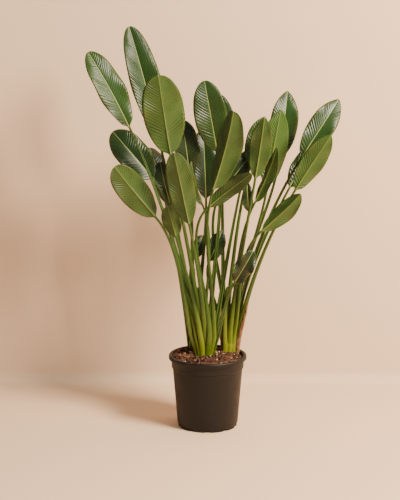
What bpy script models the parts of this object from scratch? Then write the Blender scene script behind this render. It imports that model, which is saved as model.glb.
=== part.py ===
"""A potted bird of paradise: three fans of long-stalked leaves in a round nursery pot.

Units are metres, +Z is up and -Y is the front. The origin is the centre of the pot's underside.
Every leaf is one solid, stalk and blade together, and stands on the clump of leaf sheaths it grows from.
"""

import math
from collections import namedtuple

import bmesh
import bpy
from mathutils import Matrix, Vector, noise

# Pot
POT_HEIGHT = 0.225
RIM_RADIUS = 0.120
LIP_HEIGHT = 0.0125
BAND_RADIUS = 0.111
BAND_HEIGHT = 0.040
SHOULDER_RADIUS = 0.1075
FOOT_RADIUS = 0.0935
FOOT_RECESS = 0.0025
FOOT_HEIGHT = 0.012
WALL = 0.0025
FLOOR = 0.004
SLOT_COUNT = 10
SLOT_SIZE = (0.014, 0.017, 0.013)
POT_STEPS = 60

# Growing medium
GAP = 0.0003
SOIL_EDGE = 0.205
SOIL_CENTRE = 0.213
MULCH_DEPTH = 0.009
MULCH_LUMP = 0.004
MULCH_LUMP_SIZE = 0.022
SOIL_STEPS = 48

# Plant
CROWN_TOP = 0.300
CROWN_STEPS = 24
STALK_RADIUS_LOW = 0.0058
STALK_RADIUS_HIGH = 0.0030
BLADE_EDGE = 0.0008
RIB_HIGH = 0.0028
RIB_TIP = 0.0008
BLADE_BLUNTNESS = 0.62
BLADE_BELLY = 0.92
STALK_STATIONS = 9
BLADE_STATIONS = 9

Crown = namedtuple("Crown", "name centre foot top")
CROWNS = (
    Crown("crown_front", (-0.008, -0.014), (0.030, 0.016), (0.050, 0.030)),
    Crown("crown_right", (0.066, 0.042), (0.024, 0.020), (0.044, 0.040)),
    Crown("crown_back", (-0.046, 0.058), (0.018, 0.018), (0.028, 0.032)),
)

# base: where the stalk leaves its crown; collar: where the blade starts; tip: the blade's end.
# facing: compass direction of the upper side, in degrees from +X; fold: how far each half rises;
# bow: how upright the stalk starts, from 0, straight, to 1, vertical; arch: rise of the midrib.
Leaf = namedtuple("Leaf", "base collar tip width facing fold bow arch")
LEAVES = (
    Leaf((-0.035, -0.024), (-0.235, 0.020, 0.925), (-0.360, 0.050, 1.150), 0.095, -60, 15, 0.4, 0.012),
    Leaf((-0.050, 0.072), (-0.150, 0.120, 0.880), (-0.240, 0.160, 1.215), 0.100, -75, 25, 0.3, 0.015),
    Leaf((-0.022, -0.012), (-0.110, -0.100, 0.860), (-0.145, -0.150, 1.105), 0.130, 95, 12, 0.4, 0.010),
    Leaf((-0.046, 0.036), (-0.055, 0.035, 0.775), (-0.080, 0.045, 0.945), 0.085, -70, 15, 0.2, 0.008),
    Leaf((-0.008, -0.028), (-0.055, -0.120, 0.655), (-0.100, -0.170, 0.880), 0.085, 90, 20, 0.5, 0.008),
    Leaf((-0.008, -0.003), (-0.015, 0.000, 0.690), (-0.050, 0.000, 0.825), 0.060, 160, 20, 0.3, 0.005),
    Leaf((-0.038, 0.002), (-0.165, 0.060, 0.760), (-0.290, 0.100, 0.900), 0.105, -70, 12, 0.3, 0.012),
    Leaf((-0.052, -0.018), (-0.155, -0.080, 0.670), (-0.275, -0.150, 0.835), 0.095, 105, 15, 0.3, 0.012),
    Leaf((-0.023, -0.034), (-0.095, -0.060, 0.605), (-0.120, -0.090, 0.705), 0.060, 90, 15, 0.4, 0.004),
    Leaf((-0.062, 0.056), (-0.140, 0.120, 0.725), (-0.180, 0.190, 0.835), 0.070, -60, 15, 0.3, 0.006),
    Leaf((-0.048, 0.052), (-0.115, 0.080, 0.680), (-0.145, 0.075, 0.810), 0.070, -100, 15, 0.3, 0.006),
    Leaf((0.006, -0.014), (0.030, 0.020, 0.850), (-0.010, 0.000, 1.070), 0.105, -90, 10, 0.2, 0.010),
    Leaf((0.019, -0.030), (0.015, -0.070, 0.750), (0.075, -0.120, 0.995), 0.090, 60, 40, 0.2, 0.010),
    Leaf((0.050, 0.066), (0.045, 0.140, 0.785), (0.045, 0.190, 1.000), 0.085, -90, 15, 0.2, 0.008),
    Leaf((-0.032, 0.050), (-0.005, 0.070, 0.695), (-0.015, 0.100, 0.910), 0.080, -80, 15, 0.2, 0.008),
    Leaf((0.056, 0.050), (0.045, 0.070, 0.720), (0.150, 0.130, 0.850), 0.060, -100, 15, 0.2, 0.008),
    Leaf((0.006, -0.034), (0.000, -0.030, 0.690), (0.130, -0.070, 0.800), 0.055, 100, 10, 0.2, 0.012),
    Leaf((0.070, 0.026), (0.140, -0.100, 0.790), (0.165, -0.140, 0.980), 0.070, 80, 15, 0.3, 0.008),
    Leaf((0.066, 0.074), (0.220, 0.100, 0.820), (0.245, 0.140, 1.020), 0.090, -90, 12, 0.4, 0.010),
    Leaf((0.074, 0.058), (0.180, 0.020, 0.745), (0.220, 0.020, 0.980), 0.090, 95, 10, 0.3, 0.010),
    Leaf((0.072, 0.041), (0.140, -0.060, 0.710), (0.205, -0.090, 0.885), 0.060, 30, 20, 0.3, 0.006),
    Leaf((0.088, 0.049), (0.280, -0.020, 0.840), (0.395, 0.030, 1.010), 0.085, -100, 8, 0.5, 0.012),
    Leaf((0.100, 0.044), (0.260, -0.050, 0.745), (0.365, -0.090, 0.920), 0.075, 95, 15, 0.4, 0.008),
    Leaf((0.084, 0.068), (0.250, 0.080, 0.730), (0.325, 0.130, 0.850), 0.065, -110, 15, 0.4, 0.006),
    Leaf((0.084, 0.030), (0.160, -0.090, 0.630), (0.275, -0.130, 0.750), 0.060, 60, 45, 0.3, 0.008),
    Leaf((0.033, -0.025), (0.080, -0.080, 0.470), (0.135, -0.120, 0.575), 0.060, -90, 15, 0.2, 0.006),
    Leaf((0.042, 0.046), (0.005, 0.035, 0.510), (0.045, 0.040, 0.605), 0.055, -90, 15, 0.2, 0.006),
    Leaf((-0.034, 0.070), (-0.045, 0.080, 0.505), (-0.015, 0.105, 0.575), 0.045, -90, 15, 0.2, 0.004),
    Leaf((0.022, -0.006), (0.120, 0.025, 0.760), (0.125, 0.030, 0.665), 0.035, -100, 20, 0.2, 0.004),
    Leaf((0.056, 0.033), (0.130, 0.080, 0.800), (0.175, 0.115, 0.945), 0.075, 90, 15, 0.3, 0.006),
)

Stub = namedtuple("Stub", "base top")
CUT_STUBS = (
    Stub((-0.032, 0.036), (-0.045, 0.020, 0.490)),
    Stub((-0.020, 0.008), (-0.030, 0.030, 0.430)),
    Stub((0.046, 0.022), (0.062, 0.020, 0.435)),
)
STUB_RADIUS = 0.0050
DRY_SHEATHS = (
    Stub((0.108, 0.034), (0.125, 0.020, 0.385)),
    Stub((0.034, 0.030), (0.040, 0.022, 0.390)),
)
SHEATH_WIDTH = 0.012
SHEATH_THICKNESS = 0.0012


def clear_scene():
    for obj in list(bpy.data.objects):
        bpy.data.objects.remove(obj)


def material(name, colour, roughness):
    made = bpy.data.materials.new(name)
    made.use_nodes = True
    shader = made.node_tree.nodes["Principled BSDF"]
    shader.inputs["Base Color"].default_value = (*colour, 1.0)
    shader.inputs["Roughness"].default_value = roughness
    shader.inputs["Metallic"].default_value = 0.0
    return made


def add_object(name, bm, made_of):
    """Turns a bmesh into a scene object with outward faces."""
    bmesh.ops.recalc_face_normals(bm, faces=bm.faces)
    mesh = bpy.data.meshes.new(name)
    bm.to_mesh(mesh)
    bm.free()
    mesh.materials.append(made_of)
    mesh.shade_smooth()
    mesh.set_sharp_from_angle(angle=math.radians(40))
    obj = bpy.data.objects.new(name, mesh)
    bpy.context.scene.collection.objects.link(obj)
    return obj


def turned(profile, steps):
    """A closed solid of revolution; the profile's two ends lie on the Z axis."""
    bm = bmesh.new()
    verts = [bm.verts.new((radius, 0, height)) for radius, height in profile]
    edges = [bm.edges.new(pair) for pair in zip(verts, verts[1:])]
    bmesh.ops.spin(
        bm, geom=verts + edges, cent=(0, 0, 0), axis=(0, 0, 1), angle=math.tau, steps=steps, use_merge=True
    )
    bmesh.ops.remove_doubles(bm, verts=bm.verts, dist=0.00001)
    return bm


def inner_radius(height):
    """Radius of the pot's inner wall, which tapers between the floor and the shoulder."""
    share = (height - FLOOR) / (POT_HEIGHT - BAND_HEIGHT - FLOOR)
    foot = FOOT_RADIUS - WALL - 0.0005
    return foot + (SHOULDER_RADIUS - WALL - foot) * min(share, 1.0)


def make_pot(plastic):
    step = POT_HEIGHT - BAND_HEIGHT
    lip = POT_HEIGHT - LIP_HEIGHT
    bore = BAND_RADIUS - WALL
    profile = (
        (0, 0),
        (FOOT_RADIUS - FOOT_RECESS - 0.0015, 0),
        (FOOT_RADIUS - FOOT_RECESS, 0.0015),
        (FOOT_RADIUS - FOOT_RECESS, FOOT_HEIGHT - 0.002),
        (FOOT_RADIUS, FOOT_HEIGHT),
        (SHOULDER_RADIUS, step),
        (BAND_RADIUS, step + 0.002),
        (BAND_RADIUS + 0.001, lip),
        (RIM_RADIUS - 0.0025, lip),
        (RIM_RADIUS, lip + 0.003),
        (RIM_RADIUS, POT_HEIGHT - 0.004),
        (RIM_RADIUS - 0.0025, POT_HEIGHT - 0.0005),
        (RIM_RADIUS - 0.0060, POT_HEIGHT),
        (bore + 0.0015, POT_HEIGHT - 0.0015),
        (bore, POT_HEIGHT - 0.006),
        (bore, step + 0.003),
        (inner_radius(step), step),
        (inner_radius(FLOOR), FLOOR),
        (0, FLOOR),
    )
    pot = add_object("pot", turned(profile, POT_STEPS), plastic)
    cutter = make_slot_cutter(plastic)
    slots = pot.modifiers.new("drainage_slots", "BOOLEAN")
    slots.operation = "DIFFERENCE"
    slots.solver = "EXACT"
    slots.object = cutter


def make_slot_cutter(plastic):
    bm = bmesh.new()
    for index in range(SLOT_COUNT):
        turn = Matrix.Rotation(math.tau * (index + 0.5) / SLOT_COUNT + math.pi / SLOT_COUNT - math.pi / 2, 4, "Z")
        place = turn @ Matrix.Translation((FOOT_RADIUS - 0.001, 0, 0)) @ Matrix.Diagonal((*SLOT_SIZE, 1))
        bmesh.ops.create_cube(bm, size=1, matrix=place)
    cutter = add_object("slot_cutter", bm, plastic)
    cutter.hide_render = True
    cutter.display_type = "WIRE"
    return cutter


def soil_height(radius):
    """Top of the root ball, mounded towards the middle."""
    share = min(radius / BAND_RADIUS, 1.0)
    return SOIL_CENTRE + (SOIL_EDGE - SOIL_CENTRE) * share**2


def make_root_ball(soil):
    step = POT_HEIGHT - BAND_HEIGHT
    wall = BAND_RADIUS - WALL - 2 * GAP
    tops = [wall * share for share in (1.0, 0.8, 0.55, 0.3)]
    profile = [(0, FLOOR + GAP), (inner_radius(FLOOR) - 0.004, FLOOR + GAP)]
    profile += [(inner_radius(0.012) - 2 * GAP, 0.012), (inner_radius(step) - 2 * GAP, step)]
    profile += [(wall, step + 0.004)]
    profile += [(radius, soil_height(radius)) for radius in tops]
    profile += [(0, soil_height(0))]
    add_object("root_ball", turned(profile, SOIL_STEPS), soil)


def make_mulch(bark):
    """A loose layer of bark with an uneven top, open round each crown."""
    wall = BAND_RADIUS - WALL - 3 * GAP
    lower = [wall * share for share in (0, 0.3, 0.55, 0.8, 1.0)]
    upper = [wall * share for share in (1.0, 0.88, 0.76, 0.62, 0.48, 0.34, 0.18, 0)]
    profile = [(radius, soil_height(radius) + GAP) for radius in lower]
    profile += [(radius, soil_height(radius) + MULCH_DEPTH) for radius in upper]
    bm = turned(profile, SOIL_STEPS)
    for vert in bm.verts:
        radius = vert.co.xy.length
        if vert.co.z > soil_height(radius) + MULCH_DEPTH / 2:
            lump = noise.noise(Vector((vert.co.x, vert.co.y, 0)) / MULCH_LUMP_SIZE)
            vert.co.z += lump * MULCH_LUMP
    mulch = add_object("bark_mulch", bm, bark)
    for crown in CROWNS:
        cutter = add_object(f"{crown.name}_clearance", crown_body(crown, 0.0006, SOIL_EDGE - 0.02), bark)
        cutter.hide_render = True
        cutter.display_type = "WIRE"
        opening = mulch.modifiers.new(crown.name, "BOOLEAN")
        opening.operation = "DIFFERENCE"
        opening.solver = "EXACT"
        opening.object = cutter


def crown_body(crown, grow, bottom):
    """The clump of sheath bases: an oval column that flares like a fan towards its flat top."""
    bm = bmesh.new()
    cap = bmesh.ops.create_circle(bm, cap_ends=True, segments=CROWN_STEPS, radius=1)["verts"]
    rings = []
    for share in (0.0, 0.35, 0.7, 1.0):
        height = bottom + (CROWN_TOP - bottom) * share
        ease = share**1.4
        rings.append([crown.foot[i] + (crown.top[i] - crown.foot[i]) * ease + grow for i in (0, 1)] + [height])
    shape = [vert.co.copy() for vert in cap]
    sections = [
        [(crown.centre[0] + unit.x * along, crown.centre[1] + unit.y * across, height) for unit in shape]
        for along, across, height in rings
    ]
    extrude_through(bm, sections)
    return bm


def extrude_through(bm, sections):
    """Puts the one face of bm on the first section, then extrudes it through the others."""
    cap = bm.faces[:][0]
    for vert, point in zip(cap.verts, sections[0]):
        vert.co = point
    inner = []
    for section in sections[1:]:
        grown = bmesh.ops.extrude_face_region(bm, geom=[cap])["geom"]
        cap = next(item for item in grown if isinstance(item, bmesh.types.BMFace))
        for vert, point in zip(cap.verts, section):
            vert.co = point
        inner.append(cap)
    bmesh.ops.delete(bm, geom=inner[:-1], context="FACES_ONLY")


def make_crowns(sheath_green):
    for crown in CROWNS:
        reach = max(abs(crown.centre[0]) + crown.foot[0], abs(crown.centre[1]) + crown.foot[1])
        seat = soil_height(0) + GAP
        add_object(crown.name, crown_body(crown, 0.0, seat if reach else 0), sheath_green)


def bezier(p0, p1, p2, p3, t):
    """Point and direction on a cubic curve."""
    u = 1 - t
    point = p0 * u**3 + p1 * (3 * u * u * t) + p2 * (3 * u * t * t) + p3 * t**3
    slope = (p1 - p0) * (3 * u * u) + (p2 - p1) * (6 * u * t) + (p3 - p2) * (3 * t * t)
    return point, slope.normalized()


def stalk_curve(leaf):
    base = Vector((*leaf.base, CROWN_TOP + GAP))
    collar = Vector(leaf.collar)
    length = (collar - base).length
    launch = (collar - base).normalized().lerp(Vector((0, 0, 1)), leaf.bow).normalized()
    _, entry = blade_point(leaf, 0)
    return base, base + launch * (0.35 * length), collar - entry * (0.28 * length), collar


def blade_point(leaf, t):
    """Point and direction on the midrib, which arches towards the upper side."""
    collar = Vector(leaf.collar)
    tip = Vector(leaf.tip)
    chord = (tip - collar).normalized()
    lift = upper_side(leaf, chord) * leaf.arch * 1.33
    return bezier(collar, collar.lerp(tip, 0.33) + lift, collar.lerp(tip, 0.67) + lift, tip, t)


def upper_side(leaf, along):
    """Unit normal of the leaf's upper side, square to the direction it grows in."""
    facing = Vector((math.cos(math.radians(leaf.facing)), math.sin(math.radians(leaf.facing)), 0))
    return (facing - along * facing.dot(along)).normalized()


def half_width(leaf, t):
    return leaf.width / 2 * math.sin(math.pi * t**BLADE_BELLY) ** BLADE_BLUNTNESS


def section(leaf, centre, along, half, edge, keel):
    """Six points round the leaf: edge, midrib and edge on the upper side, then back underneath."""
    normal = upper_side(leaf, along)
    side = along.cross(normal)
    rise = half * math.tan(math.radians(leaf.fold)) * min(half / 0.01, 1.0) if half > 0.008 else 0.0
    flat = ((-half, rise + edge), (0, edge), (half, rise + edge), (half, rise - edge), (0, -keel), (-half, rise - edge))
    return [centre + side * across + normal * up for across, up in flat]


def leaf_sections(leaf):
    sections = []
    curve = stalk_curve(leaf)
    for index in range(STALK_STATIONS):
        t = index / STALK_STATIONS
        centre, along = bezier(*curve, t)
        radius = STALK_RADIUS_LOW + (STALK_RADIUS_HIGH - STALK_RADIUS_LOW) * t
        sections.append(section(leaf, centre, along, radius * 0.87, radius * 0.5, radius))
    for point in sections[0]:
        point.z = CROWN_TOP + GAP
    for index in range(BLADE_STATIONS + 1):
        t = (index / BLADE_STATIONS) ** 0.9
        centre, along = blade_point(leaf, t)
        half = max(half_width(leaf, min(t, 0.9999)), 0.0012 + (0.0026 - 0.0012) * (1 - t))
        keel = RIB_HIGH + (RIB_TIP - RIB_HIGH) * t
        sections.append(section(leaf, centre, along, half, BLADE_EDGE, keel))
    return sections


def six_sided():
    bm = bmesh.new()
    bmesh.ops.create_circle(bm, cap_ends=True, segments=6, radius=1)
    return bm


def make_leaves(leaf_green):
    for number, leaf in enumerate(LEAVES, start=1):
        bm = six_sided()
        extrude_through(bm, leaf_sections(leaf))
        add_object(f"leaf_{number:02d}", bm, leaf_green)


def ring(centre, along, radius_x, radius_y):
    """Six points of an oval round a centre line, its long side facing the front."""
    side = along.cross(Vector((0, 1, 0))).normalized()
    front = side.cross(along)
    turns = [math.tau * index / 6 for index in range(6)]
    return [centre + side * (radius_x * math.cos(a)) + front * (radius_y * math.sin(a)) for a in turns]


def make_upright(name, stub, radius_x, radius_y, made_of):
    """A bare leaf base that rises from a crown and ends in a level cut."""
    base = Vector((*stub.base, CROWN_TOP + GAP))
    top = Vector(stub.top)
    middle = base.lerp(top, 0.5) + Vector((stub.base[0] - top.x, stub.base[1] - top.y, 0)) * 0.1
    along = (top - base).normalized()
    bm = six_sided()
    shrink = (1.0, 0.92, 0.85)
    places = (base, middle, top)
    sections = [ring(p, along, radius_x * s, radius_y * s) for p, s in zip(places, shrink)]
    for point in sections[0]:
        point.z = CROWN_TOP + GAP
    extrude_through(bm, sections)
    add_object(name, bm, made_of)


def main():
    clear_scene()
    plastic = material("pot_plastic", (0.030, 0.026, 0.022), 0.5)
    soil = material("root_ball_soil", (0.020, 0.012, 0.008), 0.95)
    bark = material("bark_chips", (0.110, 0.050, 0.024), 0.9)
    sheath_green = material("sheath_green", (0.20, 0.26, 0.03), 0.5)
    leaf_green = material("leaf_green", (0.045, 0.095, 0.014), 0.42)
    dry = material("dry_sheath", (0.12, 0.045, 0.020), 0.8)
    make_pot(plastic)
    make_root_ball(soil)
    make_mulch(bark)
    make_crowns(sheath_green)
    make_leaves(leaf_green)
    for number, stub in enumerate(CUT_STUBS, start=1):
        make_upright(f"cut_stub_{number}", stub, STUB_RADIUS, STUB_RADIUS, sheath_green)
    for number, sheath in enumerate(DRY_SHEATHS, start=1):
        make_upright(f"dry_sheath_{number}", sheath, SHEATH_WIDTH / 2, SHEATH_THICKNESS / 2, dry)


main()
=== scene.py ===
"""Potted bird of paradise: the leaves, leaf bases, bark mulch and nursery pot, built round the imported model.

Units are metres, +Z is up and -Y is the front. The origin is the centre of the pot's underside.
"""

import math
import random
from collections import namedtuple

import bmesh
import bpy
import numpy as np
from bpy.props import FloatProperty, FloatVectorProperty, IntProperty, PointerProperty, StringProperty
from mathutils import Matrix, Vector, noise


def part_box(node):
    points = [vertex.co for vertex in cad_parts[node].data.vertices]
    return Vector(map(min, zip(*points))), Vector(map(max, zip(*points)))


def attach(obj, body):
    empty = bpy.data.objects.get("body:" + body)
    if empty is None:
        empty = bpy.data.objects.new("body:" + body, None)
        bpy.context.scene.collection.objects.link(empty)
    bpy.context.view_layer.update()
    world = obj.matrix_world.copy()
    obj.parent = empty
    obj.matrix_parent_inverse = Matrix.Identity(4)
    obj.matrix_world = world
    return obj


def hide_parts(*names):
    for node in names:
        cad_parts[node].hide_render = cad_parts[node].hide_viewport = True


bl_info = {
    "name": "Potted Bird of Paradise",
    "version": (1, 0, 0),
    "blender": (4, 5, 0),
    "location": "View3D > Sidebar > Plant",
    "description": "Models a bird of paradise house plant in a nursery pot",
    "category": "Add Mesh",
}

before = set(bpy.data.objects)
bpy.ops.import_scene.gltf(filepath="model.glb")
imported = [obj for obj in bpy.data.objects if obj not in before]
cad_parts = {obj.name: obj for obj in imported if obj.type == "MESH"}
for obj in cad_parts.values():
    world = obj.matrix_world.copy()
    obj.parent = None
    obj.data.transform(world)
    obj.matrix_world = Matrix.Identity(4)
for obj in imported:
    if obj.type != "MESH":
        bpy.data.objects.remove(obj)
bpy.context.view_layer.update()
POT_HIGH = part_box("pot")[1]
MULCH_LOW, MULCH_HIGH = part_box("bark_mulch")
CROWN_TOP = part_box("crown_front")[1].z
BODY = "root"

# base: where the stalk leaves its crown; collar: where the blade starts; tip: the blade's end.
# facing: compass direction of the upper side, in degrees from +X; fold: how far each half rises, in degrees;
# bow: how upright the stalk starts, from 0 to 1; arch: rise of the midrib; wave: ruffle of the margin;
# tone: from 0, the darkest, to 1, the palest: partly the leaf's age, old dark and young pale, and partly painted
# light, pale for leaves that catch a sheen or light through them, dark as painted shade for leaves that sit in
# shade.
Leaf = namedtuple("Leaf", "crown base collar tip width facing fold bow arch wave tone")
LEAVES = (
    Leaf("front", (-0.035, -0.024), (-0.235, 0.020, 0.925), (-0.360, 0.050, 1.150),
         0.095, -60, 15, 0.4, 0.012, 0.003, 0.7),
    Leaf("back", (-0.050, 0.072), (-0.150, 0.120, 0.880), (-0.240, 0.160, 1.215),
         0.100, -75, 25, 0.3, 0.015, 0.003, 0.4),
    Leaf("front", (-0.022, -0.012), (-0.110, -0.100, 0.860), (-0.145, -0.150, 1.105),
         0.130, 95, 12, 0.4, 0.010, 0.004, 0.6),
    Leaf("back", (-0.046, 0.036), (-0.055, 0.035, 0.775), (-0.080, 0.045, 0.945),
         0.085, -70, 15, 0.2, 0.008, 0.003, 0.1),
    Leaf("front", (-0.008, -0.028), (-0.055, -0.120, 0.655), (-0.100, -0.170, 0.880),
         0.085, 90, 20, 0.5, 0.008, 0.003, 0.4),
    Leaf("front", (-0.008, -0.003), (-0.015, 0.000, 0.690), (-0.050, 0.000, 0.825),
         0.060, 160, 20, 0.3, 0.005, 0.002, 0.7),
    Leaf("front", (-0.038, 0.002), (-0.165, 0.060, 0.760), (-0.290, 0.100, 0.900),
         0.105, -70, 12, 0.3, 0.012, 0.004, 0.2),
    Leaf("front", (-0.052, -0.018), (-0.155, -0.080, 0.670), (-0.275, -0.150, 0.835),
         0.095, 105, 15, 0.3, 0.012, 0.003, 0.4),
    Leaf("front", (-0.023, -0.034), (-0.095, -0.060, 0.605), (-0.120, -0.090, 0.705),
         0.060, 90, 15, 0.4, 0.004, 0.003, 0.8),
    Leaf("back", (-0.062, 0.056), (-0.140, 0.120, 0.725), (-0.180, 0.190, 0.835),
         0.070, -60, 15, 0.3, 0.006, 0.003, 0.1),
    Leaf("back", (-0.048, 0.052), (-0.115, 0.080, 0.680), (-0.145, 0.075, 0.810),
         0.070, -100, 15, 0.3, 0.006, 0.003, 0.1),
    Leaf("front", (0.006, -0.014), (0.030, 0.020, 0.850), (-0.010, 0.000, 1.070),
         0.105, -90, 10, 0.2, 0.010, 0.003, 0.4),
    Leaf("front", (0.019, -0.030), (0.015, -0.070, 0.750), (0.075, -0.120, 0.995),
         0.090, 60, 40, 0.2, 0.010, 0.003, 0.5),
    Leaf("right", (0.050, 0.066), (0.045, 0.140, 0.785), (0.045, 0.190, 1.000),
         0.085, -90, 15, 0.2, 0.008, 0.003, 0.1),
    Leaf("back", (-0.032, 0.050), (-0.005, 0.070, 0.695), (-0.015, 0.100, 0.910),
         0.080, -80, 15, 0.2, 0.008, 0.003, 0.1),
    Leaf("right", (0.056, 0.050), (0.045, 0.070, 0.720), (0.150, 0.130, 0.850),
         0.060, -100, 15, 0.2, 0.008, 0.003, 0.1),
    Leaf("front", (0.006, -0.034), (0.000, -0.030, 0.690), (0.130, -0.070, 0.800),
         0.055, 100, 10, 0.2, 0.012, 0.003, 0.2),
    Leaf("right", (0.070, 0.026), (0.140, -0.100, 0.790), (0.165, -0.140, 0.980),
         0.070, 80, 15, 0.3, 0.008, 0.003, 0.6),
    Leaf("right", (0.066, 0.074), (0.220, 0.100, 0.820), (0.245, 0.140, 1.020),
         0.090, -90, 12, 0.4, 0.010, 0.003, 0.5),
    Leaf("right", (0.074, 0.058), (0.180, 0.020, 0.745), (0.220, 0.020, 0.980),
         0.090, 95, 10, 0.3, 0.010, 0.003, 0.9),
    Leaf("right", (0.072, 0.041), (0.140, -0.060, 0.710), (0.205, -0.090, 0.885),
         0.060, 30, 20, 0.3, 0.006, 0.002, 0.8),
    Leaf("right", (0.088, 0.049), (0.280, -0.020, 0.840), (0.395, 0.030, 1.010),
         0.085, -100, 8, 0.5, 0.012, 0.003, 0.5),
    Leaf("right", (0.100, 0.044), (0.260, -0.050, 0.745), (0.365, -0.090, 0.920),
         0.075, 95, 15, 0.4, 0.008, 0.003, 0.6),
    Leaf("right", (0.084, 0.068), (0.250, 0.080, 0.730), (0.325, 0.130, 0.850),
         0.065, -110, 15, 0.4, 0.006, 0.003, 0.1),
    Leaf("right", (0.084, 0.030), (0.160, -0.090, 0.630), (0.275, -0.130, 0.750),
         0.060, 60, 45, 0.3, 0.008, 0.003, 0.6),
    Leaf("front", (0.033, -0.025), (0.080, -0.080, 0.470), (0.135, -0.120, 0.575),
         0.060, -90, 15, 0.2, 0.006, 0.009, 0.0),
    Leaf("right", (0.042, 0.046), (0.005, 0.035, 0.510), (0.045, 0.040, 0.605),
         0.055, -90, 15, 0.2, 0.006, 0.003, 0.1),
    Leaf("back", (-0.034, 0.070), (-0.045, 0.080, 0.505), (-0.015, 0.105, 0.575),
         0.045, -90, 15, 0.2, 0.004, 0.003, 0.0),
    Leaf("front", (0.022, -0.006), (0.120, 0.025, 0.760), (0.125, 0.030, 0.665),
         0.035, -100, 20, 0.2, 0.004, 0.003, 0.1),
    Leaf("right", (0.056, 0.033), (0.130, 0.080, 0.800), (0.175, 0.115, 0.945),
         0.075, 90, 15, 0.3, 0.006, 0.003, 0.7),
)

Crown = namedtuple("Crown", "centre foot tip_power")
CROWNS = {
    "front": Crown((-0.008, -0.014), (0.017, 0.009), 0.54),
    "right": Crown((0.066, 0.042), (0.017, 0.012), 0.82),
    "back": Crown((-0.046, 0.058), (0.012, 0.012), 0.54),
}

Upright = namedtuple("Upright", "base top lean")
CUT_STUBS = (
    Upright((-0.032, 0.036), (-0.045, 0.020, 0.490), "back"),
    Upright((-0.020, 0.008), (-0.030, 0.030, 0.430), "front"),
    Upright((0.046, 0.022), (0.062, 0.020, 0.435), "right"),
)
DRY_SHEATHS = (
    Upright((0.108, 0.034), (0.125, 0.020, 0.385), "right"),
    Upright((0.034, 0.030), (0.040, 0.022, 0.390), "right"),
)

BELLY_AT = 0.52
WIDTH_SHARE = 0.95
TIP_CURL = 0.010
CURL_START = 0.66
RUFFLE_SHARE = 1.7
BLEND_SHARE = 0.045
RIB_WIDE, RIB_TAPER = 0.0026, 0.0017
KEEL_HIGH, KEEL_TIP = 0.0026, 0.0006
CHANNEL_DEEP = 0.0012
TIP_THICKNESS = 0.0008
VEIN_SLANT = 0.19
STALK_ROWS = 44
ACROSS_CELLS = 26
STALK_FOOT = 0.206
SHEATH_RISE = 0.035
FOOT_GATHER = 0.45
CROWN_HEIGHT = 0.060
CROWN_SINK = 0.004


# ---------------------------------------------------------------- settings


class PotSettings(bpy.types.PropertyGroup):
    steps: IntProperty(name="Steps", description="Facets round the pot", default=144, min=24)
    lip_height: FloatProperty(
        name="Lip height", description="Height of the rolled lip", default=0.0125, unit="LENGTH"
    )
    band_height: FloatProperty(
        name="Band height", description="From the rim down to the step", default=0.040, unit="LENGTH"
    )
    wall: FloatProperty(
        name="Wall", description="Thickness of the moulded wall", default=0.0025, unit="LENGTH"
    )
    slots: IntProperty(name="Slots", description="Drainage slots round the foot", default=10, min=3)
    colour: StringProperty(name="Colour", description="Plastic, as an sRGB hex value", default="#0D0C0B")


class SoilSettings(bpy.types.PropertyGroup):
    chips: IntProperty(name="Chips", description="Bark chips on the surface", default=1150, min=10)
    chip_length: FloatProperty(
        name="Chip length", description="Usual length of a chip", default=0.015, unit="LENGTH"
    )
    perlite: IntProperty(name="Perlite", description="White perlite grains", default=26, min=0)
    seed: IntProperty(name="Seed", description="Order in which the chips fall", default=7)


class LeafSettings(bpy.types.PropertyGroup):
    thickness: FloatProperty(
        name="Thickness", description="Thickness of a blade", default=0.0009, unit="LENGTH"
    )
    vein_pitch: FloatProperty(
        name="Vein pitch", description="Between two main veins", default=0.0092, unit="LENGTH"
    )
    pleat: FloatProperty(
        name="Pleat", description="Height of the pleats between veins", default=0.0013, unit="LENGTH"
    )
    stalk_low: FloatProperty(
        name="Stalk foot", description="Half width of a stalk at its foot", default=0.0096, unit="LENGTH"
    )
    stalk_high: FloatProperty(
        name="Stalk top", description="Half width of a stalk at the blade", default=0.0036, unit="LENGTH"
    )
    # The dark and pale colours are blended by each leaf's tone, which stands partly for age and partly for painted
    # light and painted shade.
    upper_dark: StringProperty(name="Upper dark", description="Old leaf, sRGB hex", default="#12290A")
    upper_pale: StringProperty(name="Upper pale", description="Young leaf, sRGB hex", default="#2F5118")
    under_dark: StringProperty(
        name="Under dark", description="Old underside, sRGB hex", default="#22360A"
    )
    under_pale: StringProperty(
        name="Under pale", description="Young underside, sRGB hex", default="#41601E"
    )
    rib: StringProperty(name="Midrib", description="Midrib, sRGB hex", default="#A3B060")


class StageSettings(bpy.types.PropertyGroup):
    camera_place: FloatVectorProperty(
        name="Camera",
        description="Where the camera stands",
        default=(-0.0235, -5.79, 1.837),
        subtype="TRANSLATION",
    )
    camera_dip: FloatProperty(
        name="Dip", description="How far the camera looks down", default=math.radians(12.5), subtype="ANGLE"
    )
    lens: FloatProperty(name="Lens", description="Focal length in millimetres", default=140.4)
    floor: StringProperty(name="Floor", description="Floor and backdrop, sRGB hex", default="#E2C6A6")
    key: FloatProperty(name="Key light", description="Power of the soft box in watts", default=430.0)
    fill: FloatProperty(
        name="Fill", description="Strength of the even light from all round", default=0.36
    )


# ---------------------------------------------------------------- nodes and materials


def linear(hex_value):
    """An sRGB hex colour as linear RGBA."""
    parts = [int(hex_value[i : i + 2], 16) / 255 for i in (1, 3, 5)]
    return [c / 12.92 if c <= 0.04045 else ((c + 0.055) / 1.055) ** 2.4 for c in parts] + [1.0]


def add(tree, kind, settings=None, inputs=None):
    """Adds one node with its settings; an input is a value or another node's output."""
    made = tree.nodes.new(kind)
    for key, value in (settings or {}).items():
        setattr(made, key, value)
    for key, value in (inputs or {}).items():
        if isinstance(value, bpy.types.NodeSocket):
            tree.links.new(value, made.inputs[key])
        else:
            made.inputs[key].default_value = value
    return made


def new_material(name):
    made = bpy.data.materials.new(name)
    made.use_nodes = True
    made.node_tree.nodes.clear()
    return made, made.node_tree


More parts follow.
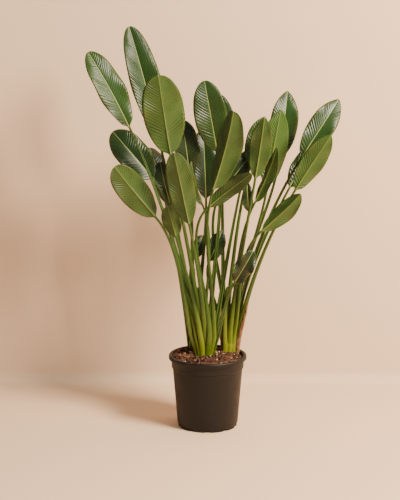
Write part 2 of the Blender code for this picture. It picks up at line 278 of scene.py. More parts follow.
def finish_surface(tree, shader):
    add(tree, "ShaderNodeOutputMaterial", inputs={"Surface": shader.outputs[0]})


def leaf_skin(name, dark, pale, rib, roughness, rib_reach, glow):
    """Waxy cuticle over ribbed green tissue: satin, faintly translucent, with a creamy midrib."""
    made, tree = new_material(name)
    coords = add(tree, "ShaderNodeTexCoord")
    tone = add(tree, "ShaderNodeAttribute", {"attribute_name": "tone"})
    vein = add(tree, "ShaderNodeAttribute", {"attribute_name": "vein"})
    ribs = add(tree, "ShaderNodeAttribute", {"attribute_name": "rib"})
    margin = add(tree, "ShaderNodeAttribute", {"attribute_name": "margin"})
    # Cloudy patches about 35 mm across, where the tissue is thicker or younger.
    patches = add(
        tree,
        "ShaderNodeTexNoise",
        inputs={"Vector": coords.outputs["Object"], "Scale": 28.0, "Detail": 3.0},
    )
    mixed = add(
        tree, "ShaderNodeMath", {"operation": "MULTIPLY_ADD"}, {
            0: patches.outputs["Fac"], 1: 0.55, 2: -0.26
        }
    )
    # Each leaf's tone plus the patches blends dark towards pale; the tone is partly the leaf's age and partly
    # painted light and painted shade.
    youth_and_painted_light = add(
        tree, "ShaderNodeMath", {"operation": "ADD", "use_clamp": True}, {
            0: tone.outputs["Fac"], 1: mixed.outputs[0]
        }
    )
    flesh = add(
        tree, "ShaderNodeMix", {"data_type": "RGBA"}, {
            0: youth_and_painted_light.outputs[0], 6: linear(dark), 7: linear(pale)
        }
    )
    # Side veins every 2.5 mm; the finer ones between them are too small to show.
    phase = add(
        tree, "ShaderNodeMath", {"operation": "MULTIPLY"}, {0: vein.outputs["Fac"], 1: math.tau / 2.5}
    )
    stripe = add(tree, "ShaderNodeMath", {"operation": "SINE"}, {0: phase.outputs[0]})
    soft = add(
        tree, "ShaderNodeMapRange", inputs={0: stripe.outputs[0], 1: -0.2, 2: 1.0, 3: 0.0, 4: 0.30}
    )
    striped = add(
        tree, "ShaderNodeMix", {"data_type": "RGBA"}, {
            0: soft.outputs[0], 6: flesh.outputs[2], 7: linear(pale)
        }
    )
    reach = add(
        tree, "ShaderNodeMapRange", inputs={0: ribs.outputs["Fac"], 1: rib_reach, 2: 0.95, 3: 0.0, 4: 0.9}
    )
    ribbed = add(
        tree, "ShaderNodeMix", {"data_type": "RGBA"}, {
            0: reach.outputs[0], 6: striped.outputs[2], 7: linear(rib)
        }
    )
    edge = add(
        tree, "ShaderNodeMapRange", inputs={0: margin.outputs["Fac"], 1: 0.72, 2: 1.0, 3: 0.0, 4: 0.5}
    )
    edged = add(
        tree, "ShaderNodeMix", {"data_type": "RGBA"}, {
            0: edge.outputs[0], 6: ribbed.outputs[2], 7: linear("#4A5A1C")
        }
    )
    # Fine grain of the cuticle, about 1 mm, on top of the vein relief.
    grain = add(
        tree,
        "ShaderNodeTexNoise",
        inputs={"Vector": coords.outputs["Object"], "Scale": 700.0, "Detail": 2.0},
    )
    relief = add(
        tree, "ShaderNodeMath", {"operation": "MULTIPLY_ADD"}, {
            0: grain.outputs["Fac"], 1: 0.25, 2: stripe.outputs[0]
        }
    )
    bump = add(
        tree, "ShaderNodeBump", inputs={
            "Height": relief.outputs[0], "Strength": 0.35, "Distance": 0.00025
        }
    )
    skin = add(
        tree,
        "ShaderNodeBsdfPrincipled",
        inputs={
            "Base Color": edged.outputs[2],
            "Roughness": roughness,
            "IOR": 1.45,
            "Coat Weight": 0.25,
            "Coat Roughness": 0.32,
            "Normal": bump.outputs["Normal"],
        },
    )
    through = add(tree, "ShaderNodeBsdfTranslucent", inputs={"Color": edged.outputs[2]})
    both = add(tree, "ShaderNodeMixShader", inputs={0: glow, 1: skin.outputs[0], 2: through.outputs[0]})
    finish_surface(tree, both)
    return made


def stalk_skin(name, green, pale, foot):
    """Smooth fleshy stalk: olive green with pale lengthwise streaks, yellow towards its sheathing foot."""
    made, tree = new_material(name)
    coords = add(tree, "ShaderNodeTexCoord")
    along = add(tree, "ShaderNodeAttribute", {"attribute_name": "height"})
    tone = add(tree, "ShaderNodeAttribute", {"attribute_name": "tone"})
    # Streaks 2 mm wide and some 60 mm long.
    stretched = add(
        tree, "ShaderNodeMapping", inputs={
            "Vector": coords.outputs["Object"], "Scale": (480.0, 480.0, 16.0)
        }
    )
    streaks = add(
        tree, "ShaderNodeTexNoise", inputs={"Vector": stretched.outputs[0], "Scale": 1.0, "Detail": 2.0}
    )
    streak = add(
        tree, "ShaderNodeMapRange", inputs={0: streaks.outputs["Fac"], 1: 0.45, 2: 0.75, 3: 0.0, 4: 0.55}
    )
    body = add(
        tree, "ShaderNodeMix", {"data_type": "RGBA"}, {
            0: streak.outputs[0], 6: linear(green), 7: linear(pale)
        }
    )
    # The green gives way to yellow from 400 mm up down to 220 mm, just above the soil.
    low = add(
        tree, "ShaderNodeMapRange", inputs={0: along.outputs["Fac"], 1: 0.40, 2: 0.22, 3: 0.0, 4: 1.0}
    )
    # How yellow the foot gets follows the leaf's tone, which is partly age and partly painted light and painted
    # shade.
    amount = add(
        tree, "ShaderNodeMath", {"operation": "MULTIPLY"}, {0: low.outputs[0], 1: tone.outputs["Fac"]}
    )
    footed = add(
        tree, "ShaderNodeMix", {"data_type": "RGBA"}, {
            0: amount.outputs[0], 6: body.outputs[2], 7: linear(foot)
        }
    )
    bump = add(
        tree, "ShaderNodeBump", inputs={
            "Height": streaks.outputs["Fac"], "Strength": 0.3, "Distance": 0.0004
        }
    )
    skin = add(
        tree,
        "ShaderNodeBsdfPrincipled",
        inputs={
            "Base Color": footed.outputs[2],
            "Roughness": 0.38,
            "IOR": 1.45,
            "Subsurface Weight": 0.08,
            "Subsurface Radius": (0.004, 0.006, 0.001),
            "Subsurface Scale": 1.0,
            "Normal": bump.outputs["Normal"],
        },
    )
    finish_surface(tree, skin)
    return made


def dry_tissue():
    """Dead leaf sheath: papery, red-brown with straw-coloured fibres running lengthwise."""
    made, tree = new_material("papery_dry_sheath")
    coords = add(tree, "ShaderNodeTexCoord")
    # Fibres about 1.5 mm apart.
    stretched = add(
        tree, "ShaderNodeMapping", inputs={
            "Vector": coords.outputs["Object"], "Scale": (620.0, 620.0, 22.0)
        }
    )
    fibres = add(
        tree, "ShaderNodeTexNoise", inputs={"Vector": stretched.outputs[0], "Scale": 1.0, "Detail": 3.0}
    )
    share = add(tree, "ShaderNodeMapRange", inputs={0: fibres.outputs["Fac"], 1: 0.38, 2: 0.72})
    colour = add(
        tree, "ShaderNodeMix", {"data_type": "RGBA"}, {
            0: share.outputs[0], 6: linear("#4A2413"), 7: linear("#B08A52")
        }
    )
    bump = add(
        tree,
        "ShaderNodeBump",
        inputs={"Height": fibres.outputs["Fac"], "Strength": 0.6, "Distance": 0.0006},
    )
    skin = add(
        tree,
        "ShaderNodeBsdfPrincipled",
        inputs={"Base Color": colour.outputs[2], "Roughness": 0.75, "Normal": bump.outputs["Normal"]},
    )
    finish_surface(tree, skin)
    return made


def cut_face():
    """Cut end of a stalk: pale, dried pith."""
    made, tree = new_material("dried_pith")
    coords = add(tree, "ShaderNodeTexCoord")
    # Pores about 1 mm across.
    pores = add(tree, "ShaderNodeTexVoronoi", inputs={"Vector": coords.outputs["Object"], "Scale": 900.0})
    share = add(tree, "ShaderNodeMapRange", inputs={0: pores.outputs["Distance"], 1: 0.0, 2: 0.6})
    colour = add(
        tree, "ShaderNodeMix", {"data_type": "RGBA"}, {
            0: share.outputs[0], 6: linear("#8A7443"), 7: linear("#D8C998")
        }
    )
    skin = add(
        tree, "ShaderNodeBsdfPrincipled", inputs={"Base Color": colour.outputs[2], "Roughness": 0.8}
    )
    finish_surface(tree, skin)
    return made


def moulded_polypropylene(colour):
    """Recycled black polypropylene, injection moulded: matt, faintly mottled, with dust and soft scuffs."""
    made, tree = new_material("moulded_polypropylene")
    coords = add(tree, "ShaderNodeTexCoord")
    # Dusty smudges 40 mm across, over a spark-eroded grain of about 0.8 mm.
    smudge = add(
        tree, "ShaderNodeTexNoise", inputs={
            "Vector": coords.outputs["Object"], "Scale": 22.0, "Detail": 5.0
        }
    )
    dust = add(
        tree, "ShaderNodeMapRange", inputs={0: smudge.outputs["Fac"], 1: 0.45, 2: 0.8, 3: 0.0, 4: 0.22}
    )
    grain = add(
        tree, "ShaderNodeTexNoise", inputs={
            "Vector": coords.outputs["Object"], "Scale": 1100.0, "Detail": 2.0
        }
    )
    tinted = add(
        tree, "ShaderNodeMix", {"data_type": "RGBA"}, {
            0: dust.outputs[0], 6: linear(colour), 7: linear("#2B2724")
        }
    )
    gloss = add(
        tree, "ShaderNodeMapRange", inputs={0: smudge.outputs["Fac"], 1: 0.3, 2: 0.7, 3: 0.46, 4: 0.60}
    )
    bump = add(
        tree,
        "ShaderNodeBump",
        inputs={"Height": grain.outputs["Fac"], "Strength": 0.35, "Distance": 0.0002},
    )
    skin = add(
        tree,
        "ShaderNodeBsdfPrincipled",
        inputs={
            "Base Color": tinted.outputs[2],
            "Roughness": gloss.outputs[0],
            "IOR": 1.49,
            "Specular IOR Level": 0.3,
            "Normal": bump.outputs["Normal"],
        },
    )
    finish_surface(tree, skin)
    return made


def potting_soil():
    """Damp peat and compost: nearly black, crumbly, with crumbs of 2 to 6 mm."""
    made, tree = new_material("damp_potting_soil")
    coords = add(tree, "ShaderNodeTexCoord")
    crumbs = add(
        tree, "ShaderNodeTexVoronoi", inputs={"Vector": coords.outputs["Object"], "Scale": 260.0}
    )
    clods = add(
        tree,
        "ShaderNodeTexNoise",
        inputs={"Vector": coords.outputs["Object"], "Scale": 90.0, "Detail": 6.0},
    )
    share = add(tree, "ShaderNodeMapRange", inputs={0: clods.outputs["Fac"], 1: 0.35, 2: 0.75})
    colour = add(
        tree, "ShaderNodeMix", {"data_type": "RGBA"}, {
            0: share.outputs[0], 6: linear("#1C120B"), 7: linear("#4A3220")
        }
    )
    bump = add(
        tree, "ShaderNodeBump", inputs={
            "Height": crumbs.outputs["Distance"], "Strength": 0.8, "Distance": 0.002
        }
    )
    skin = add(
        tree,
        "ShaderNodeBsdfPrincipled",
        inputs={"Base Color": colour.outputs[2], "Roughness": 0.92, "Normal": bump.outputs["Normal"]},
    )
    finish_surface(tree, skin)
    return made


def pine_bark():
    """Shredded pine bark: dark corky outsides and paler split faces, with a grain of about 1 mm."""
    made, tree = new_material("shredded_pine_bark")
    coords = add(tree, "ShaderNodeTexCoord")
    tone = add(tree, "ShaderNodeAttribute", {"attribute_name": "tone"})
    grain = add(
        tree,
        "ShaderNodeTexNoise",
        inputs={"Vector": coords.outputs["Object"], "Scale": 420.0, "Detail": 3.0},
    )
    mixed = add(
        tree, "ShaderNodeMath", {"operation": "MULTIPLY_ADD"}, {0: grain.outputs["Fac"], 1: 0.5, 2: -0.25}
    )
    share = add(
        tree, "ShaderNodeMath", {"operation": "ADD", "use_clamp": True}, {
            0: tone.outputs["Fac"], 1: mixed.outputs[0]
        }
    )
    low = add(
        tree, "ShaderNodeMix", {"data_type": "RGBA"}, {
            0: share.outputs[0], 6: linear("#22120A"), 7: linear("#7A4A2A")
        }
    )
    split = add(tree, "ShaderNodeMapRange", inputs={0: share.outputs[0], 1: 0.72, 2: 1.0})
    colour = add(
        tree, "ShaderNodeMix", {"data_type": "RGBA"}, {
            0: split.outputs[0], 6: low.outputs[2], 7: linear("#D9B48C")
        }
    )
    bump = add(
        tree,
        "ShaderNodeBump",
        inputs={"Height": grain.outputs["Fac"], "Strength": 0.7, "Distance": 0.001},
    )
    skin = add(
        tree,
        "ShaderNodeBsdfPrincipled",
        inputs={"Base Color": colour.outputs[2], "Roughness": 0.85, "Normal": bump.outputs["Normal"]},
    )
    finish_surface(tree, skin)
    return made


def expanded_perlite():
    """Expanded perlite: chalky white, pitted grains."""
    made, tree = new_material("expanded_perlite")
    coords = add(tree, "ShaderNodeTexCoord")
    # Pits about 0.7 mm across.
    pits = add(
        tree,
        "ShaderNodeTexNoise",
        inputs={"Vector": coords.outputs["Object"], "Scale": 1400.0, "Detail": 2.0},
    )
    share = add(tree, "ShaderNodeMapRange", inputs={0: pits.outputs["Fac"], 1: 0.3, 2: 0.6})
    colour = add(
        tree, "ShaderNodeMix", {"data_type": "RGBA"}, {
            0: share.outputs[0], 6: linear("#B9AE9C"), 7: linear("#F2ECE0")
        }
    )
    bump = add(
        tree,
        "ShaderNodeBump",
        inputs={"Height": pits.outputs["Fac"], "Strength": 0.6, "Distance": 0.0004},
    )
    skin = add(
        tree,
        "ShaderNodeBsdfPrincipled",
        inputs={"Base Color": colour.outputs[2], "Roughness": 0.9, "Normal": bump.outputs["Normal"]},
    )
    finish_surface(tree, skin)
    return made


def studio_paper(colour):
    """Matt seamless paper for the floor and backdrop."""
    made, tree = new_material("matt_studio_paper")
    skin = add(tree, "ShaderNodeBsdfPrincipled", inputs={"Base Color": linear(colour), "Roughness": 0.9})
    finish_surface(tree, skin)
    return made


# ---------------------------------------------------------------- meshes


def add_piece(name, bm, materials, node_names):
    """Turns a bmesh into a piece that rides on the body and stands for its CAD nodes."""
    mesh = bpy.data.meshes.new(name)
    bm.to_mesh(mesh)
    bm.free()
    for material in materials:
        mesh.materials.append(material)
    piece = bpy.data.objects.new(name, mesh)
    bpy.context.scene.collection.objects.link(piece)
    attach(piece, BODY)
    if node_names:
        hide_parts(*node_names)
    return piece


def smooth(piece, angle=50):
    piece.data.shade_smooth()
    piece.data.set_sharp_from_angle(angle=math.radians(angle))


def wrapped_sheet(points, layers, material_of):
    """A closed tube from a grid of points: rows run along it, and each row's last point meets its first.

    layers holds a value for every point under each attribute's name; material_of gives a cell's slot.
    """
    rows, columns = points.shape[:2]
    bm = bmesh.new()
    bmesh.ops.create_grid(bm, x_segments=columns, y_segments=rows - 1, size=1)
    stores = {name: bm.verts.layers.float.new(name) for name in layers}
    cell = {}
    for vert in bm.verts:
        column = round((vert.co.x + 1) / 2 * columns)
        row = round((vert.co.y + 1) / 2 * (rows - 1))
        cell[vert] = (row, column)
        around = column % columns
        vert.co = points[row, around]
        for name, store in stores.items():
            vert[store] = layers[name][row, around]
    for face in bm.faces:
        row = min(cell[vert][0] for vert in face.verts)
        column = min(cell[vert][1] for vert in face.verts)
        face.material_index = material_of(row, column)
        face.smooth = True
    bmesh.ops.remove_doubles(bm, verts=bm.verts, dist=0.0000005)
    bmesh.ops.holes_fill(bm, edges=bm.edges, sides=0)
    bmesh.ops.recalc_face_normals(bm, faces=bm.faces)
    return bm


def unit(vectors):
    return vectors / np.linalg.norm(vectors, axis=-1, keepdims=True)


def cubic(ends, t):
    """Points and directions on a cubic curve at every value of t."""
    p0, p1, p2, p3 = (np.array(p, float) for p in ends)
    t = np.asarray(t, float)[..., None]
    u = 1 - t
    points = p0 * u**3 + p1 * (3 * u * u * t) + p2 * (3 * u * t * t) + p3 * t**3
    slopes = (p1 - p0) * (3 * u * u) + (p2 - p1) * (6 * u * t) + (p3 - p2) * (3 * t * t)
    return points, unit(slopes)


def facing_vector(leaf):
    angle = math.radians(leaf.facing)
    return np.array((math.cos(angle), math.sin(angle), 0.0))


def upper_side(leaf, along):
    """Unit normals of the upper side, square to the direction of growth."""
    facing = facing_vector(leaf)
    return unit(facing - along * (along @ facing)[..., None])


def blade_curve(leaf):
    collar = np.array(leaf.collar)
    tip = np.array(leaf.tip)
    lift = upper_side(leaf, unit(tip - collar)) * leaf.arch * 1.33
    return collar, collar * 0.67 + tip * 0.33 + lift, collar * 0.33 + tip * 0.67 + lift, tip


def stalk_curves(leaf):
    """The sheathing foot, down in the crown, and the free stalk above it."""
    base = np.array((*leaf.base, CROWN_TOP))
    collar = np.array(leaf.collar)
    length = np.linalg.norm(collar - base)
    straight = (collar - base) / length
    launch = unit(straight * (1 - leaf.bow) + np.array((0, 0, 1.0)) * leaf.bow)
    entry = unit(blade_curve(leaf)[1] - collar)
    crown = CROWNS[leaf.crown]
    centre = np.array(crown.centre)
    foot = np.array((*(centre + (np.array(leaf.base) - centre) * FOOT_GATHER), STALK_FOOT))
    low = (foot, foot + np.array((0, 0, SHEATH_RISE)), base - launch * SHEATH_RISE, base)
    high = (base, base + launch * (0.35 * length), collar - entry * (0.28 * length), collar)
    return low, high


def ease(x):
    x = np.clip(x, 0, 1)
    return x * x * (3 - 2 * x)


def outline(t, tip_power):
    """Half width of a blade as a share of its widest; a larger tip_power draws out the tip."""
    base = (1 - np.clip((BELLY_AT - t) / BELLY_AT, 0, 1) ** 2.0) ** 0.66
    tip = (1 - np.clip((t - BELLY_AT) / (1 - BELLY_AT), 0, 1) ** 2.3) ** tip_power
    return np.where(t < BELLY_AT, base, tip)


def leaf_rings(leaf, settings, seed):
    """Points and attribute values of one whole leaf: sheath, stalk and pleated blade."""
    chance = random.Random(seed)
    half_cells = ACROSS_CELLS
    spread = np.linspace(-1, 1, half_cells + 1)
    q = np.concatenate([spread, spread[-2:0:-1]])
    side = np.concatenate([np.ones(half_cells + 1), -np.ones(half_cells - 1)])
    side[0] = side[half_cells] = 0
    q, side = q[None, :], side[None, :]

    # Stalk: an oval with a channel along its upper side, widest at the sheathing foot.
    low, high = stalk_curves(leaf)
    low_points, low_slopes = cubic(low, np.linspace(0, 1, 9)[:-1])
    high_points, high_slopes = cubic(high, np.linspace(0, 1, STALK_ROWS)[:-1])
    centres = np.concatenate([low_points, high_points])
    slopes = np.concatenate([low_slopes, high_slopes])
    height = centres[:, 2]
    share = (height - height[0]) / (leaf.collar[2] - height[0])
    wide = settings.stalk_high + (settings.stalk_low - settings.stalk_high) * (1 - share) ** 1.25
    deep = wide * (0.62 + 0.2 * share)

    def stalk_ring(wide, deep):
        x = wide[:, None] * np.sin(math.pi / 2 * q)
        y = side * deep[:, None] * np.cos(math.pi / 2 * q)
        channel = 0.6 * deep[:, None] * np.exp(-((x / (0.42 * wide[:, None])) ** 2))
        return x, y - channel * (side > 0)

    x, y = stalk_ring(wide, deep)
    normals = upper_side(leaf, slopes)
    across_stalk = np.cross(slopes, normals)
    stalk = centres[:, None] + across_stalk[:, None] * x[..., None] + normals[:, None] * y[..., None]

    # Blade: each row follows a side vein, which leaves the midrib and slants towards the tip.
    length = math.dist(leaf.collar, leaf.tip)
    veins = max(6, round(length / settings.vein_pitch))
    rows = veins * 5 + 1
    v = np.linspace(0, 1, rows)[:, None]
    across = np.sign(q) * np.abs(q) ** 1.5
    reach = np.abs(across)
    t = np.clip(v + VEIN_SLANT * 4 * v * (1 - v) * reach**1.1, 0, 1)
    width = WIDTH_SHARE / 2 * leaf.width * outline(t, CROWNS[leaf.crown].tip_power)
    d = across * width
    phase = chance.uniform(0, math.tau)
    uneven = 0.7 + 0.3 * np.sin(v * veins * 0.9 + phase)
    pleat = settings.pleat * np.cos(math.tau * veins * v) * reach**0.5 * (1 - reach**8) * uneven
    ruffle = RUFFLE_SHARE * leaf.wave * reach**2.4 * np.sin(math.tau * (2.1 * t + 0.22 * across) + phase) * np.sin(
        math.pi * t
    )
    fold = np.abs(d) * math.tan(math.radians(leaf.fold)) * (1 - 0.35 * reach**2)
    rib_wide = RIB_WIDE - RIB_TAPER * t
    rib = np.exp(-((d / rib_wide) ** 2))
    keel = (KEEL_HIGH * (1 - t) + KEEL_TIP) * rib * (side < 0)
    channel = CHANNEL_DEEP * (1 - t) * rib * (side > 0)
    skin = settings.thickness / 2 * side * np.sqrt(np.clip(1 - reach**6, 0, 1))
    rise = fold + ruffle + pleat + skin - keel - channel
    start = np.full(rows, settings.stalk_high)
    x0, y0 = stalk_ring(start, start * 0.82)
    mix = ease(v / BLEND_SHARE)
    x = x0 * (1 - mix) + d * mix
    y = y0 * (1 - mix) + rise * mix
    tip_round = TIP_THICKNESS * (1 - ease((1 - v) / 0.02))
    x = x + tip_round * np.sin(math.pi / 2 * q)
    points, along = cubic(blade_curve(leaf), t)
    normals = upper_side(leaf, along)
    curl = np.clip((t - CURL_START) / (1 - CURL_START), 0, 1)
    points = points + np.array((0, TIP_CURL, 0)) * (curl**2)[..., None]
    blade = points + np.cross(along, normals) * x[..., None] + normals * y[..., None]

    whole = np.concatenate([stalk, blade])
    stalk_rows = len(stalk)
    blank = np.zeros((stalk_rows, q.shape[1]))
    full = np.ones_like(whole[..., 0])
    layers = {
        # tone: the leaf's age, with painted light where it caught sheen or backlight and painted shade where it
        # sat in shade, plus a little random spread.
        "tone": full * min(1.0, max(0.0, leaf.tone + chance.uniform(-0.08, 0.08))),
        "vein": np.concatenate([blank, v * length * 1000 + 0 * q]),
        "rib": np.concatenate([blank + 1, rib * mix + (1 - mix)]),
        "margin": np.concatenate([blank, reach + 0 * v]),
        "height": whole[..., 2],
    }
    return whole, layers, stalk_rows, half_cells


def make_leaf(number, leaf, settings, skins):
    points, layers, stalk_rows, half_cells = leaf_rings(leaf, settings, number)
    name = f"leaf_{number:02d}"

    def skin_of(row, column):
        if row < stalk_rows + 3:
            return 2
        return 0 if column < half_cells else 1

    bm = wrapped_sheet(points, layers, skin_of)
    add_piece(f"{name}_detailed", bm, skins, [name])


def oval_rings(centres, slopes, wide, deep, cells, wobble=0.0, seed=0):
    """Rings round a centre line, the long side of each oval facing the front."""
    chance = random.Random(seed)
    turns = np.linspace(0, math.tau, cells, endpoint=False)
    lumps = 1 + wobble * np.array([chance.uniform(-1, 1) for _ in range(cells)])
    side = unit(np.cross(slopes, np.array((0, 1.0, 0))))
    front = np.cross(side, slopes)
    x = wide[:, None] * np.cos(turns) * lumps
    y = deep[:, None] * np.sin(turns) * lumps
    return centres[:, None] + side[:, None] * x[..., None] + front[:, None] * y[..., None]


def upright_line(upright, rows):
    """From the soil up past the crown's top to the end of a bare leaf base."""
    crown = CROWNS[upright.lean]
    centre = np.array(crown.centre)
    base = np.array((*upright.base, CROWN_TOP))
    foot = np.array((*(centre + (np.array(upright.base) - centre) * 0.6), STALK_FOOT))
    top = np.array(upright.top)
    along = unit(top - base)
    return cubic((foot, foot + np.array((0, 0, 0.05)), base + along * 0.02, top), np.linspace(0, 1, rows))


def make_cut_stub(number, upright, skins):
    """An old stalk cut off above the crown, with a shrunken, slanting end."""
    rows = 26
    centres, slopes = upright_line(upright, rows)
    share = np.linspace(0, 1, rows)
    wide = 0.0078 - 0.0020 * share
    deep = 0.0052 - 0.0012 * share
    points = oval_rings(centres, slopes, wide, deep, 20, 0.05, number)
    cut = (points[-1] - centres[-1])[:, 0] * 0.7
    points[-1, :, 2] += cut
    points[-2, :, 2] += cut * 0.7
    layers = {"tone": np.full(points.shape[:2], 0.7), "height": points[..., 2]}
    bm = wrapped_sheet(points, layers, lambda row, column: 0)
    bm.faces.ensure_lookup_table()
    cap = max(
        (face for face in bm.faces if len(face.verts) > 4),
        key=lambda face: face.calc_center_median().z,
    )
    ring = bmesh.ops.inset_region(bm, faces=[cap], thickness=0.0008, depth=-0.0006)["faces"]
    cap.material_index = 1
    for face in ring:
        face.material_index = 1
    piece = add_piece(f"cut_stub_{number}_detailed", bm, skins, [f"cut_stub_{number}"])
    smooth(piece)


def make_dry_sheath(number, upright, skin):
    """A dead sheath margin: a thin strip, curled lengthwise, with ragged edges."""
    chance = random.Random(40 + number)
    rows = 40
    centres, slopes = upright_line(upright, rows)
    share = np.linspace(0, 1, rows)
    torn = np.array([chance.uniform(0.8, 1.1) for _ in range(rows)])
    wide = 0.0068 * (1 - 0.75 * share**2.2) * torn
    deep = np.full(rows, 0.0007)
    points = oval_rings(centres, slopes, wide, deep, 20)
    x = (points - centres[:, None])[..., 0]
    points[..., 1] += 55.0 * x**2 + 0.0012 * np.sin(share * 19 + number)[:, None]
    layers = {"height": points[..., 2]}
    bm = wrapped_sheet(points, layers, lambda row, column: 0)
    piece = add_piece(f"dry_sheath_{number}_detailed", bm, [skin], [f"dry_sheath_{number}"])
    smooth(piece, 70)


def make_crown(name, crown, skins):
    """The heart of a fan: a short, lobed clump of packed sheath bases at the soil."""
    rows, cells = 22, 48
    share = np.linspace(0, 1, rows)
    centres = np.stack(
        [
            np.full(rows, crown.centre[0]),
            np.full(rows, crown.centre[1]),
            STALK_FOOT - CROWN_SINK + CROWN_HEIGHT * share,
        ],
        axis=1,
    )
    slopes = np.tile(np.array((0.0, 0.0, 1.0)), (rows, 1))
    swell = 1 + 0.35 * share
    close = np.sqrt(np.clip(1 - (share * 0.97) ** 7, 0.02, 1))
    wide = crown.foot[0] * swell * close
    deep = crown.foot[1] * swell * close
    points = oval_rings(centres, slopes, wide, deep, cells)
    turns = np.linspace(0, math.tau, cells, endpoint=False)
    folds = 1 + 0.07 * np.abs(np.sin(turns * 4.5))[None, :] + 0.03 * np.sin(
        turns * 11 + 3 * share[:, None]
    )
    points[..., :2] = centres[:, None, :2] + (points[..., :2] - centres[:, None, :2]) * folds[..., None]
    layers = {"tone": np.ones(points.shape[:2]), "height": points[..., 2]}
    bm = wrapped_sheet(points, layers, lambda row, column: 0)
    piece = add_piece(f"{name}_detailed", bm, skins, [name])
    smooth(piece, 60)


def turned(profile, steps):
    """A solid of revolution whose profile starts and ends on the Z axis."""
    bm = bmesh.new()
    verts = [bm.verts.new((radius, 0, height)) for radius, height in profile]
    edges = [bm.edges.new(pair) for pair in zip(verts, verts[1:])]
    bmesh.ops.spin(
        bm, geom=verts + edges, cent=(0, 0, 0), axis=(0, 0, 1), angle=math.tau, steps=steps, use_merge=True
    )
    bmesh.ops.remove_doubles(bm, verts=bm.verts, dist=0.00001)
    bmesh.ops.recalc_face_normals(bm, faces=bm.faces)
    return bm


def pot_profile(pot):
    """Half section of the pot: foot, tapering body, step, band and rolled lip, then back down inside."""
    top = POT_HIGH.z
    rim = POT_HIGH.x
    step = top - pot.band_height
    lip = top - pot.lip_height
    band = rim - 0.009
    shoulder = band - 0.0035
    foot = 0.0935
    outside = [
        (0, 0.0012),
        (0.030, 0.0012),
        (0.032, 0),
        (foot - 0.004, 0),
        (foot - 0.0028, 0.0006),
        (foot - 0.0025, 0.002),
        (foot - 0.0025, 0.0095),
        (foot - 0.0018, 0.0110),
        (foot - 0.0004, 0.0118),
        (foot, 0.0130),
        (shoulder - 0.0001, step - 0.003),
        (shoulder + 0.0002, step - 0.001),
        (band - 0.0012, step + 0.0010),
        (band - 0.0002, step + 0.0020),
        (band, step + 0.0040),
        (band + 0.0008, lip - 0.002),
        (band + 0.0014, lip - 0.0006),
        (band + 0.0028, lip),
    ]
    centre = (rim - 0.0040, top - 0.0045)
    roll = []
    for index in range(11):
        angle = math.radians(-80 + 180 * index / 10)
        roll.append((centre[0] + 0.0040 * math.cos(angle), centre[1] + 0.0045 * math.sin(angle)))
    outer_lip = [(rim - 0.0030, lip), (rim - 0.0008, lip + 0.0006), (rim - 0.0001, lip + 0.0020)]
    bore = band - pot.wall
    inside = [
        (bore + 0.0028, top - 0.0004),
        (bore + 0.0010, top - 0.0014),
        (bore, top - 0.0040),
        (bore - 0.0008, step + 0.003),
        (shoulder - pot.wall, step),
        (foot - pot.wall - 0.001, 0.006),
        (foot - pot.wall - 0.004, 0.004),
        (0, 0.004),
    ]
    return outside + outer_lip + roll[3:] + inside


def applied(piece):
    """Puts a piece's modifiers into its mesh."""
    graph = bpy.context.evaluated_depsgraph_get()
    mesh = bpy.data.meshes.new_from_object(piece.evaluated_get(graph))
    piece.modifiers.clear()
    piece.data = mesh


def make_pot(pot):
    plastic = moulded_polypropylene(pot.colour)
    piece = add_piece(
        "pot_detailed", turned(pot_profile(pot), pot.steps), [plastic], ["pot"]
    )
    bm = bmesh.new()
    for index in range(pot.slots):
        turn = Matrix.Rotation(math.tau * index / pot.slots - math.pi / 2, 4, "Z")
        place = turn @ Matrix.Translation((0.0925, 0, 0)) @ Matrix.Diagonal((0.014, 0.017, 0.0125, 1))
        cube = bmesh.ops.create_cube(bm, size=1, matrix=place)["verts"]
        upright = {edge for vert in cube for edge in vert.link_edges}
        bmesh.ops.bevel(
            bm, geom=list(upright), offset=0.0014, affect="EDGES", segments=2, profile=0.5, material=-1
        )
    mesh = bpy.data.meshes.new("slot_cutter")
    bm.to_mesh(mesh)
    bm.free()
    cutter = bpy.data.objects.new("slot_cutter", mesh)
    bpy.context.scene.collection.objects.link(cutter)
    cut = piece.modifiers.new("slots", "BOOLEAN")
    cut.operation = "DIFFERENCE"
    cut.solver = "EXACT"
    cut.object = cutter
    applied(piece)
    bpy.data.objects.remove(cutter)
    smooth(piece, 35)


def mulch_height(x, y):
    """Top of the mulch: mounded towards the back left, with lumps about 20 mm across."""
    radius = math.hypot(x, y)
    edge = MULCH_LOW.z + 0.0075
    crest = 0.012 * (1 - (radius / 0.11) ** 2) + 0.010 * math.exp(
        -(((x + 0.07) / 0.05) ** 2 + ((y - 0.05) / 0.05) ** 2)
    )
    lump = 0.0035 * noise.noise(Vector((x, y, 0.3)) / 0.020)
    return edge + crest + lump * min(1.0, (0.112 - radius) / 0.02)


def make_mulch_bed(soil):
    """The soil surface under the chips, a lumpy disc that dips at the pot's wall."""
    wall = MULCH_HIGH.x
    rings = 26
    top = [(wall * (1 - index / rings), MULCH_LOW.z + 0.008) for index in range(rings + 1)]
    profile = [(0, MULCH_LOW.z + 0.002), (wall, MULCH_LOW.z + 0.002)] + top
    bm = turned(profile, 120)
    for vert in bm.verts:
        if vert.co.z > MULCH_LOW.z + 0.005:
            vert.co.z = mulch_height(vert.co.x, vert.co.y)
    piece = add_piece("mulch_bed", bm, [soil], ["bark_mulch"])
    smooth(piece, 60)


